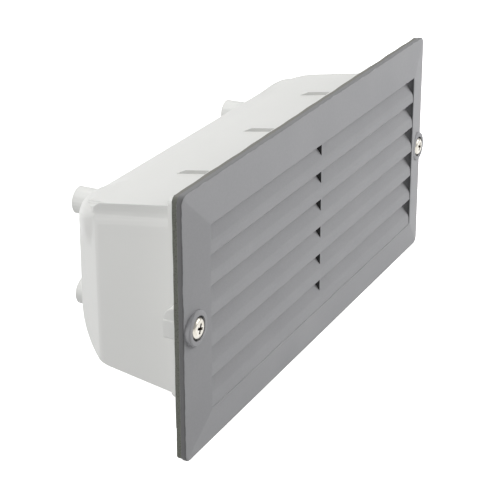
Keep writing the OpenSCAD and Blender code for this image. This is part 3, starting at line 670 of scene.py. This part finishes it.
class STEPLIGHT_OT_fascia(bpy.types.Operator):
    """Make the die-cast louvred fascia"""
    bl_idname = "steplight.fascia"
    bl_label = "Fascia"

    def execute(self, context):
        sizes = context.scene.step_light_sizes
        coat = MATERIALS["coat"]
        _, _, field_x, field_z = outline(sizes)
        _, crest_y, lip_y = depths(sizes)
        border = fascia_border(sizes)
        smooth(border, 35)
        finish_piece(border, coat, "cover", ["fascia"])
        for i in range(sizes.louvres):
            finish_piece(louvre(sizes, i), coat, "cover", [])
        half_t = sizes.divider / 2
        web = block("fascia_divider", (-half_t, lip_y + sizes.divider_step, -field_z),
                    (half_t, CASTING_REAR, field_z))
        soften(web, 0.25 * MM, 3)
        smooth(web)
        finish_piece(web, MATERIALS["web"], "cover", [])
        # The cheeks close the field's ends; their faces stand a little inside the border.
        stand_in, thickness, set_back = 0.08 * MM, 1.2 * MM, 0.35 * MM
        for side, name in ((-1, "fascia_cheek_left"), (1, "fascia_cheek_right")):
            a, b = span(side, field_x - stand_in, field_x + thickness)
            cheek = block(name, (a, crest_y + set_back, -field_z), (b, CASTING_REAR, field_z))
            soften(cheek, 0.2 * MM, 2)
            smooth(cheek)
            finish_piece(cheek, MATERIALS["cheek"], "cover", [])
        for side, name in ((-1, "screw_pad_left"), (1, "screw_pad_right")):
            finish_piece(fascia_pad(sizes, side, name), coat, "cover", [])
        return {"FINISHED"}


# Gasket and screws

class STEPLIGHT_OT_gasket(bpy.types.Operator):
    """Make the foam gasket, with the uneven edge that die cutting leaves"""
    bl_idname = "steplight.gasket"
    bl_label = "Gasket"

    def execute(self, context):
        sizes = context.scene.step_light_sizes
        set_back, hole_radius, wander, step = 0.4 * MM, 4.25 * MM, 0.35 * MM, 3 * MM
        half_w, half_h, field_x, field_z = outline(sizes)
        half_w, half_h = half_w - set_back, half_h - set_back
        inner_x, inner_z = field_x + 1.5 * MM, field_z + 2 * MM
        piece = block("foam_gasket", (-half_w, -sizes.gasket, -half_h), (half_w, 0, half_h))
        round_edges(piece, lambda a, b: abs(a.y - b.y) > 5 * NEAR, sizes.corner_radius - set_back, 5)
        through = 9 * MM
        cut(piece, block("cutter", (-inner_x, -through, -inner_z), (inner_x, through, inner_z)))
        for side in (-1, 1):
            cut(piece, bar("cutter", hole_radius, -5 * MM, 5 * MM,
                           side * (sizes.width / 2 - SCREW_INSET)))
        # Cut across every few millimetres, so that the outer edge can wander.
        for axis, half in (((1, 0, 0), half_w), ((0, 0, 1), half_h)):
            count = int(2 * half / step)
            for i in range(1, count):
                pick_all(piece)
                place = Vector(axis) * (-half + 2 * half * i / count)
                bpy.ops.mesh.bisect(plane_co=place, plane_no=axis)
                done()
        for v in piece.data.vertices:
            x, _, z = v.co
            if abs(x) > half_w - NEAR / 2 or abs(z) > half_h - NEAR / 2:
                # Two waves of unlike length along the edge, in millimetres.
                run = (x * 1.7 + z * 2.3) / MM
                wave = math.sin(run * 0.21) * 0.5 + math.sin(run * 0.083 + 1.3) * 0.5
                inwards = (0.5 + 0.5 * wave) * wander
                if abs(x) > half_w - step:
                    v.co.x -= math.copysign(inwards, x)
                if abs(z) > half_h - step:
                    v.co.z -= math.copysign(inwards, z)
        soften(piece, 0.25 * MM, 2, 50)
        smooth(piece, 40)
        finish_piece(piece, MATERIALS["foam"], "cover", ["fascia_gasket"])
        return {"FINISHED"}


class STEPLIGHT_OT_screws(bpy.types.Operator):
    """Make the two cross-recess pan-head fascia screws"""
    bl_idname = "steplight.screws"
    bl_label = "Fascia screws"

    def execute(self, context):
        head_radius, dome, first_turn = 4.25 * MM, 1.75 * MM, 0.35
        shank_radius, overlap = 1.75 * MM, 0.4 * MM
        thread_radius, thread_wire, thread_pitch = 1.72 * MM, 0.22 * MM, 0.7 * MM
        for body in ("screw_left", "screw_right"):
            low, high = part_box(body)
            x = (low.x + high.x) / 2
            # The head sits 0.8 mm deeper than in the source.
            top, base, tip = low.y + 0.8 * MM, low.y + 3.1 * MM, 5 * MM
            head = bar(body + "_head", head_radius, top, base, x, 64)
            round_edges(head, lambda a, b: max(abs(a.y - top), abs(b.y - top)) < NEAR / 10, dome, 8)
            for turn in (first_turn, first_turn + math.pi / 2):
                slot = primitive("cutter", "cube", size=1, scale=(5.2 * MM, 3.4 * MM, 1.4 * MM),
                                 location=(x, top, 0), rotation=(0, turn, 0))
                pick(slot, faces=lambda c, n: n.y > FACING)
                bpy.ops.transform.resize(value=(0.55, 1, 0.55))
                done()
                cut(head, slot)
            shank = bar(body + "_shank", shank_radius, base - overlap, tip, x)
            soften(shank, 0.3 * MM, 2)
            threads = []
            y = base + 4.5 * MM
            while y < tip - 0.6 * MM:
                threads.append(ring("thread", thread_radius, thread_wire, x, y, 36, 6))
                y += thread_pitch
            piece = joined("fascia_" + body, [head, shank] + threads)
            smooth(piece, 35)
            finish_piece(piece, MATERIALS["head"], body, [body])
        screw_x = context.scene.step_light_sizes.width / 2 - SCREW_INSET
        seals = [ring("seal", 4.58 * MM, 0.36 * MM, side * screw_x, SCREW_FRONT + 2.2 * MM, 72, 14)
                 for side in (-1, 1)]
        piece = joined("screw_seal_rings", seals)
        smooth(piece, 60)
        finish_piece(piece, MATERIALS["seal"], "cover", ["screw_seals"])
        return {"FINISHED"}


# Wall box and cable entry

def ease(share):
    """A share from 0 to 1 with soft ends."""
    share = min(max(share, 0), 1)
    return share * share * (3 - 2 * share)


def fill_corners(piece):
    """Rounds the flat shoulder out at the two upper rear corners, as a moulding's fillet does."""
    # In millimetres. First the shoulder gets a grid to bend by.
    x_from, x_step, z_from, z_step = 60, 2, 12, 1.5
    cuts = [((0, SHOULDER_FRONT + 0.9 * (i + 1), 0), (0, 1, 0)) for i in range(11)]
    cuts += [((0, 0, z_from + z_step * i), (0, 0, 1)) for i in range(12)]
    cuts += [((side * (x_from + x_step * i), 0, 0), (1, 0, 0))
             for side in (-1, 1) for i in range(17)]
    for place, across in cuts:
        pick(piece, faces=lambda c, n: c.y > (SHOULDER_FRONT + 0.3) * MM and abs(n.y) < 0.95)
        bpy.ops.mesh.bisect(plane_co=Vector(place) * MM, plane_no=across)
        done()
    carry, bulge = 3.2, 2.2
    walls_rear, corner_x, corner_z = 42, 84, 29.2
    centre_x, centre_z = 76, 22
    for v in piece.data.vertices:
        x, y, z = abs(v.co.x) / MM, v.co.y / MM, v.co.z / MM
        side = math.copysign(1, v.co.x)
        along = (y - SHOULDER_FRONT) / (SHOULDER_REAR - SHOULDER_FRONT)
        if y > walls_rear and along < 1:
            # Carried back along the drafted walls, so that they stay flat.
            near = ease((x - corner_x) / 7) * ease((z - corner_z) / 3)
            v.co += Vector((-0.031 * side, 1, -0.121)) * carry * MM * near * min(1 - along, 1)
        if 0 < along < 1:
            # Then out from the corner, most of all half way down the shoulder.
            x, z = abs(v.co.x) / MM, v.co.z / MM
            near = ease((x - x_from) / 22) * ease((z - z_from) / 12)
            out = Vector((max(x - centre_x, 0) * side, 0, z - centre_z)).normalized()
            v.co += out * bulge * MM * near * 4 * along * (1 - along)


def crisp_ribs(piece):
    """Marks every edge that takes the moulding's small radius, but not the crush ribs' edges.

    It also lifts the ribs' crests a little.
    """
    front, crest_rear, rib_rear, lift = COLLAR_REAR - 0.5, 28.5, 38, 0.4

    def off_rib(x):
        return min(abs(x), abs(abs(x) - RIB_X))
    mesh = bmesh.new()
    mesh.from_mesh(piece.data)
    weights = mesh.edges.layers.float.new("bevel_weight_edge")
    for edge in mesh.edges:
        middle = (edge.verts[0].co + edge.verts[1].co) / 2 / MM
        on_rib = off_rib(middle.x) < 1.3 and abs(middle.z) > 36 and front < middle.y < rib_rear
        sharp = len(edge.link_faces) == 2 and edge.calc_face_angle() > math.radians(22)
        edge[weights] = float(sharp and not on_rib)
    for v in mesh.verts:
        place = v.co / MM
        wall = WALL_TOP - WALL_DRAFT * (place.y - COLLAR_REAR)
        if off_rib(place.x) < 1.05 and front < place.y < crest_rear and abs(place.z) > wall + 0.7:
            v.co.z += math.copysign(lift * MM, v.co.z)
    mesh.to_mesh(piece.data)
    mesh.free()


def trim_box(piece):
    """Takes the ears back to the photograph's depth and cuts the collar's two lower corners."""
    for side in (-1, 1):
        a, b = span(side, 99.2 * MM, 119 * MM)
        cut(piece, block("cutter", (a, 5.5 * MM, -12 * MM), (b, 10 * MM, 12 * MM)))
        cut(piece, primitive("cutter", "cube", size=1, scale=(12 * MM, 8.4 * MM, 12 * MM),
                             location=(side * 100.9 * MM, (COLLAR_REAR - 4) * MM, -44.4 * MM),
                             rotation=(0, math.pi / 4, 0)))


def gusset(side):
    """The round above an ear, of which the rear upper quarter shows.

    It is a whole cylinder: its front reaches 3.7 mm in front of the wall's plane, into the gasket,
    the pad and the border, and over part of the screw's hole. This is an open fault.
    """
    piece = primitive("gusset", "cylinder", vertices=64, radius=4.6 * MM, depth=6.5 * MM,
                      location=(side * 114.5 * MM, 0.9 * MM, 3.8 * MM),
                      rotation=(0, math.pi / 2, 0))
    soften(piece, 0.3 * MM, 2)
    return piece


class STEPLIGHT_OT_box(bpy.types.Operator):
    """Make the moulded wall box, with the small radii of a moulding on its edges"""
    bl_idname = "steplight.box"
    bl_label = "Wall box"

    def execute(self, context):
        piece = copy_of("moulded_box", "back_box")
        trim_box(piece)
        gussets = [gusset(side) for side in (-1, 1)]

        def at_rear_corner(a, b):
            """The uprights at the end walls' rear, and the groove along each end wall's top."""
            beyond = min(abs(a.x), abs(b.x)) > 94 * MM and a.x * b.x > 0
            upright = abs(a.z - b.z) > 20 * MM and 20 * MM < min(a.y, b.y)
            grooved = abs(a.y - b.y) > 25 * MM and 20 * MM < max(a.z, b.z) < 35 * MM
            return beyond and (upright or grooved)
        round_edges(piece, at_rear_corner, 1.3 * MM, 4)
        fill_corners(piece)
        crisp_ribs(piece)
        apply(piece, "BEVEL", width=0.4 * MM, segments=2, limit_method="WEIGHT")
        piece = joined("moulded_box", [piece] + gussets)
        smooth(piece, 32)
        finish_piece(piece, MATERIALS["box"], "housing", ["back_box"])
        return {"FINISHED"}


class STEPLIGHT_OT_cable_entry(bpy.types.Operator):
    """Make the cable gland and the blanking plug at the rear, and the ears' brass inserts"""
    bl_idname = "steplight.cable_entry"
    bl_label = "Cable entry"

    def execute(self, context):
        # The ears are shallower than in the source, so the inserts are too.
        inserts = copy_of("brass_inserts", "ear_inserts")
        pick_all(inserts)
        bpy.ops.transform.resize(value=(1, 0.6, 1), center_override=(0, 0, 0))
        done()
        smooth(inserts, 35)
        finish_piece(inserts, MATERIALS["brass"], "housing", ["ear_inserts"])
        for name, node, material, body, edge in (
                ("gland_collar", "gland_body", "nylon", "housing", 0.3),
                ("gland_cap", "gland_nut", "nylon", "gland_nut", 0.35),
                ("gland_backnut", "gland_locknut", "nylon", "housing", 0.4),
                ("gland_ring", "gland_washer", "silicone", "housing", 0.25),
                ("gland_sleeve", "gland_seal", "silicone", "housing", 0.25),
                ("entry_plug", "blanking_plug", "silicone", "housing", 0.35)):
            piece = copy_of(name, node)
            soften(piece, edge * MM, 2, 30)
            smooth(piece, 35)
            finish_piece(piece, MATERIALS[material], body, [node])
        return {"FINISHED"}


class STEPLIGHT_OT_inside(bpy.types.Operator):
    """Give every node of the frame its finish, also those that a made piece stands in for"""
    bl_idname = "steplight.inside"
    bl_label = "Inside pieces"

    def execute(self, context):
        finishes = {
            "nickel": ("retainer_left", "retainer_right", "diffuser_screws", "tray_screws",
                       "board_screws", "driver_screws", "terminal_screws", "block_screws",
                       "earth_tag", "screw_left", "screw_right"),
            "brass": ("ear_inserts", "terminal_sleeves", "earth_screw"),
            "silicone": ("diffuser_seal", "gland_washer", "gland_seal", "blanking_plug"),
            "nylon": ("gland_body", "gland_nut", "gland_locknut"),
            "seal": ("screw_seals",), "lens": ("diffuser",), "sheet": ("gear_tray",),
            "board": ("led_board",), "phosphor": ("leds",), "driver": ("led_driver",),
            "polyamide": ("terminal_block",), "brown": ("wire_live",), "blue": ("wire_neutral",),
            "green": ("wire_earth",), "red": ("wire_dc_positive",),
            "black": ("wire_dc_negative",), "coat": ("fascia",), "foam": ("fascia_gasket",),
            "box": ("back_box",)}
        for finish, nodes in finishes.items():
            for node in nodes:
                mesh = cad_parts[node].data
                mesh.materials.clear()
                mesh.materials.append(MATERIALS[finish])
        return {"FINISHED"}


# Camera, light and floor

def soft_box(name, place, size, power):
    """A rectangular lamp aimed at the middle of the fascia."""
    data = bpy.data.lights.new(name, "AREA")
    data.shape = "RECTANGLE"
    data.size, data.size_y = size
    data.energy = power
    lamp = bpy.data.objects.new(name, data)
    lamp.location = place
    lamp.rotation_mode = "QUATERNION"
    lamp.rotation_quaternion = (-Vector(place)).to_track_quat("-Z", "Y")
    bpy.context.scene.collection.objects.link(lamp)


def set_camera(scene):
    """The camera as it was fitted to the photograph's corners.

    It looks 20 degrees down and has no roll. The vertical shift stands in for the photograph's
    corrected uprights.
    """
    data = bpy.data.cameras.new("Camera")
    data.sensor_width = 36
    data.lens = 110.364
    data.shift_y = -0.15
    data.clip_start, data.clip_end = 0.01, 50
    camera = bpy.data.objects.new("Camera", data)
    right = Vector((0.445958, -0.895053, -0.001338))
    down = Vector((-0.309202, -0.152656, -0.938664))
    ahead = Vector((0.83995, 0.419018, -0.344831))
    camera.rotation_mode = "QUATERNION"
    camera.rotation_quaternion = Matrix((right, -down, -ahead)).transposed().to_quaternion()
    camera.location = Vector((-553.119, -246.911, 243.542)) * MM
    scene.collection.objects.link(camera)
    scene.camera = camera


def set_world(scene):
    """Soft room light, with white behind the object for the camera and half of it in reflections."""
    world = bpy.data.worlds.new("Studio")
    world.use_nodes = True
    tree = world.node_tree
    room = tree.nodes["Background"]
    room.inputs["Color"].default_value = (0.98, 0.99, 1.0, 1)
    room.inputs["Strength"].default_value = 0.24
    seen = add(tree, "ShaderNodeBackground", values={"Color": grey(1), "Strength": 1.0})
    ray = add(tree, "ShaderNodeLightPath")
    bright = maths(tree, "MULTIPLY_ADD", {1: 0.5},
                   {0: ray.outputs["Is Glossy Ray"], 2: ray.outputs["Is Camera Ray"]})
    both = add(tree, "ShaderNodeMixShader", links={
        "Fac": bright, 1: room.outputs["Background"], 2: seen.outputs["Background"]})
    tree.links.new(both.outputs["Shader"], tree.nodes["World Output"].inputs["Surface"])
    scene.world = world


class STEPLIGHT_OT_stage(bpy.types.Operator):
    """Set the camera at the photograph's angle, a pale floor and soft studio light"""
    bl_idname = "steplight.stage"
    bl_label = "Stage"

    def execute(self, context):
        scene = context.scene
        set_camera(scene)
        floor = primitive("floor", "plane", size=8, location=(0, 0, -53.2 * MM))
        # Matt white paper, bright enough to leave no edge against the background.
        paper, tree, place = new_material("White_paper_sweep")
        mottle = add(tree, "ShaderNodeTexNoise", values={"Scale": 3.0}, links={"Vector": place})
        shader = surface(tree, ramp(tree, mottle.outputs["Fac"], (0.3, grey(0.93)),
                                    (0.7, grey(0.95))), 0.9)
        shader.inputs["Emission Color"].default_value = grey(1)
        shader.inputs["Emission Strength"].default_value = 1.0
        floor.data.materials.append(paper)
        floor.visible_diffuse = False
        floor.visible_transmission = False
        set_world(scene)
        soft_box("key_box", (0.35, -0.58, 0.38), (0.7, 0.4), 3.45)
        soft_box("rear_box", (-1.12, 0.77, 0.28), (1.2, 1.2), 8.6)
        soft_box("top_box", (-0.13, 0.39, 1.24), (1.2, 1.2), 10.4)
        scene.view_settings.view_transform = "Standard"
        return {"FINISHED"}


class STEPLIGHT_PT_panel(bpy.types.Panel):
    """Buttons that build the step light"""
    bl_label = "Step Light"
    bl_idname = "STEPLIGHT_PT_panel"
    bl_space_type = "VIEW_3D"
    bl_region_type = "UI"
    bl_category = "Step Light"

    def draw(self, context):
        for group in (context.scene.step_light_sizes, context.scene.step_light_colours):
            for key in group.__annotations__:
                self.layout.prop(group, key)
        for operator in OPERATORS:
            self.layout.operator(operator.bl_idname)


OPERATORS = (STEPLIGHT_OT_fascia, STEPLIGHT_OT_gasket, STEPLIGHT_OT_screws, STEPLIGHT_OT_box,
             STEPLIGHT_OT_cable_entry, STEPLIGHT_OT_inside, STEPLIGHT_OT_stage)
CLASSES = (StepLightSizes, StepLightColours) + OPERATORS + (STEPLIGHT_PT_panel,)


def register():
    for cls in CLASSES:
        bpy.utils.register_class(cls)
    bpy.types.Scene.step_light_sizes = bpy.props.PointerProperty(type=StepLightSizes)
    bpy.types.Scene.step_light_colours = bpy.props.PointerProperty(type=StepLightColours)


def unregister():
    del bpy.types.Scene.step_light_colours
    del bpy.types.Scene.step_light_sizes
    for cls in reversed(CLASSES):
        bpy.utils.unregister_class(cls)


def main():
    register()
    scene = bpy.context.scene
    MATERIALS.update(all_materials(scene.step_light_colours, scene.step_light_sizes))
    for operator in OPERATORS:
        group, name = operator.bl_idname.split(".")
        getattr(getattr(bpy.ops, group), name)()


if __name__ == "__main__":
    main()
